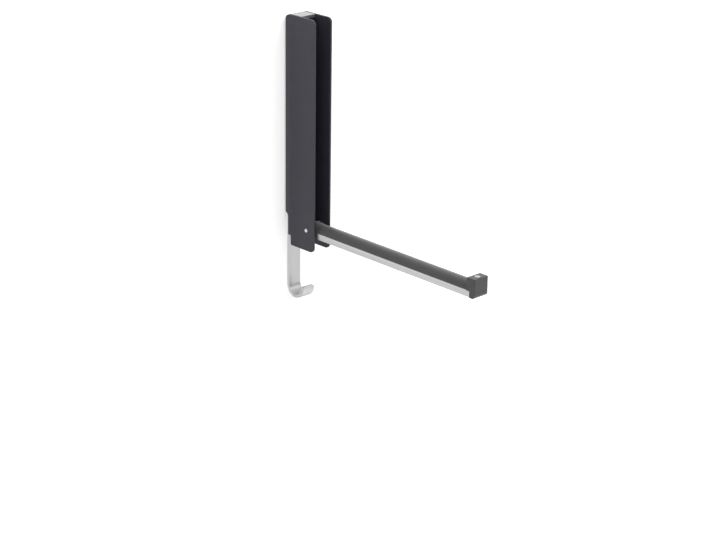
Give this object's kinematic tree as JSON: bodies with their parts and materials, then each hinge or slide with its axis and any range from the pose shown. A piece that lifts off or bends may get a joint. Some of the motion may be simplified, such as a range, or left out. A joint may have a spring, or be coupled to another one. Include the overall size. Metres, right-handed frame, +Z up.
{
  "type": "folding wall hook",
  "caption": "Wall-mounted valet hook: a slim black channel with a level arm that folds up into it, and an upturned steel coat hook below.",
  "frame": {"origin": "on the wall plane, midway between the two wall screw holes, on the housing's middle line", "axes": "+X to the right along the wall, +Y into the wall, +Z up; the arm points along -Y"},
  "size_m": [0.021, 0.2351, 0.2639],
  "materials": {
    "housing": "satin black coating",
    "hook_bar": "brushed along the bar",
    "screws": "plain stainless",
    "pivot_pin": "polished ends",
    "bushes": "natural nylon",
    "arm_body": "satin black",
    "arm_cover": "brushed along the arm",
    "end_block": "satin black",
    "end_disc": "bright disc"
  },
  "bodies": {
    "wall_unit": {"housing": "housing", "hook_bar": "hook_bar", "bar_screws": "screws", "pivot_pin": "pivot_pin"},
    "arm": {"arm_body": "arm_body", "arm_cover": "arm_cover", "end_block": "end_block", "end_disc": "end_disc", "cover_screws": "screws", "bush_left": "bushes", "bush_right": "bushes"}
  },
  "joints": [
    {"name": "arm_fold", "type": "hinge", "parent": "wall_unit", "child": "arm", "pos_m": [0, -0.0294, -0.1032], "axis": [-1, 0, 0], "range_deg": [0, 90]}
  ]
}
